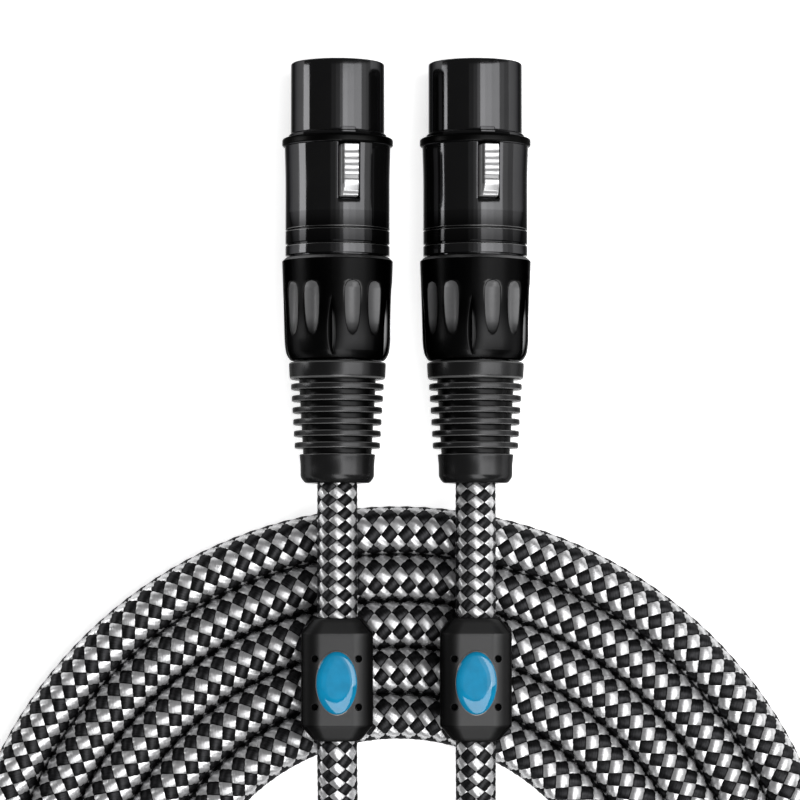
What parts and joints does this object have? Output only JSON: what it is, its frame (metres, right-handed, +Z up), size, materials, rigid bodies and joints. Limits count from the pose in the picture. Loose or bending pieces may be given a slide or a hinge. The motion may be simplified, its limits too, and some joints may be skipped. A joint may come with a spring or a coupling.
{
  "type": "xlr cable coil",
  "caption": "Coiled braided microphone cable with a female three-contact connector and a badge housing on each end.",
  "frame": {"origin": "on the table, below the middle of the two connectors", "axes": "+Y runs along the connectors towards their noses, +X from connector a to connector b, +Z up from the table; the coil lies at -Y"},
  "size_m": [0.1528, 0.2287, 0.0204],
  "materials": {
    "black_paint": "gloss",
    "nut_paint": "gloss",
    "insert": "matte",
    "contact": "gold plated",
    "core_wire": "satin",
    "latch_steel": "satin",
    "pin_steel": "satin",
    "collet": "satin",
    "boot_rubber": "matte",
    "housing": "satin",
    "screw": "blackened",
    "badge_blue": "gloss",
    "braid": "braided silver-white and black"
  },
  "bodies": {
    "cable": {"cable_coil": "braid", "shell_a": "black_paint", "insert_a": "insert", "contacts_a": "contact", "core_wires_a": "core_wire", "latch_pin_a": "pin_steel", "latch_spring_a": "pin_steel", "collet_a": "collet", "badge_housing_a": "housing", "housing_screws_a": "screw", "badge_a": "badge_blue", "lead_a": "braid", "shell_b": "black_paint", "insert_b": "insert", "contacts_b": "contact", "core_wires_b": "core_wire", "latch_pin_b": "pin_steel", "latch_spring_b": "pin_steel", "collet_b": "collet", "badge_housing_b": "housing", "housing_screws_b": "screw", "badge_b": "badge_blue", "lead_b": "braid"},
    "latch_a": {"latch_a": "latch_steel"},
    "grip_nut_a": {"grip_nut_a": "nut_paint"},
    "boot_a": {"boot_a": "boot_rubber"},
    "latch_b": {"latch_b": "latch_steel"},
    "grip_nut_b": {"grip_nut_b": "nut_paint"},
    "boot_b": {"boot_b": "boot_rubber"}
  },
  "joints": [
    {"name": "latch_a_press", "type": "hinge", "parent": "cable", "child": "latch_a", "pos_m": [-0.0103, 0.0105, 0.01561], "axis": [-0.9703, 0.0111, 0.2417], "range_deg": [0, 4], "stiffness_Nm_per_rad": 0.2, "springref_deg": -2.86, "deforming": ["latch_spring_a"]},
    {"name": "boot_a_slide", "type": "slide", "parent": "cable", "child": "boot_a", "axis": [0, -0.9989, 0.0461], "range_m": [0, 0.005]},
    {"name": "grip_nut_a_unscrew", "type": "hinge", "parent": "boot_a", "child": "grip_nut_a", "pos_m": [-0.0117, -0.0054, 0.01071], "axis": [0, -0.9989, 0.0461], "range_deg": [0, 1800]},
    {"name": "latch_b_press", "type": "hinge", "parent": "cable", "child": "latch_b", "pos_m": [0.0131, 0.0105, 0.01561], "axis": [-0.9703, 0.0111, 0.2417], "range_deg": [0, 4], "stiffness_Nm_per_rad": 0.2, "springref_deg": -2.86, "deforming": ["latch_spring_b"]},
    {"name": "boot_b_slide", "type": "slide", "parent": "cable", "child": "boot_b", "axis": [0, -0.9989, 0.0461], "range_m": [0, 0.005]},
    {"name": "grip_nut_b_unscrew", "type": "hinge", "parent": "boot_b", "child": "grip_nut_b", "pos_m": [0.0117, -0.0054, 0.01071], "axis": [0, -0.9989, 0.0461], "range_deg": [0, 1800]}
  ],
  "couplings": [
    {"joint": "grip_nut_a_unscrew", "follows": "boot_a_slide", "rad_per_m": 6283.2},
    {"joint": "grip_nut_b_unscrew", "follows": "boot_b_slide", "rad_per_m": 6283.2}
  ]
}
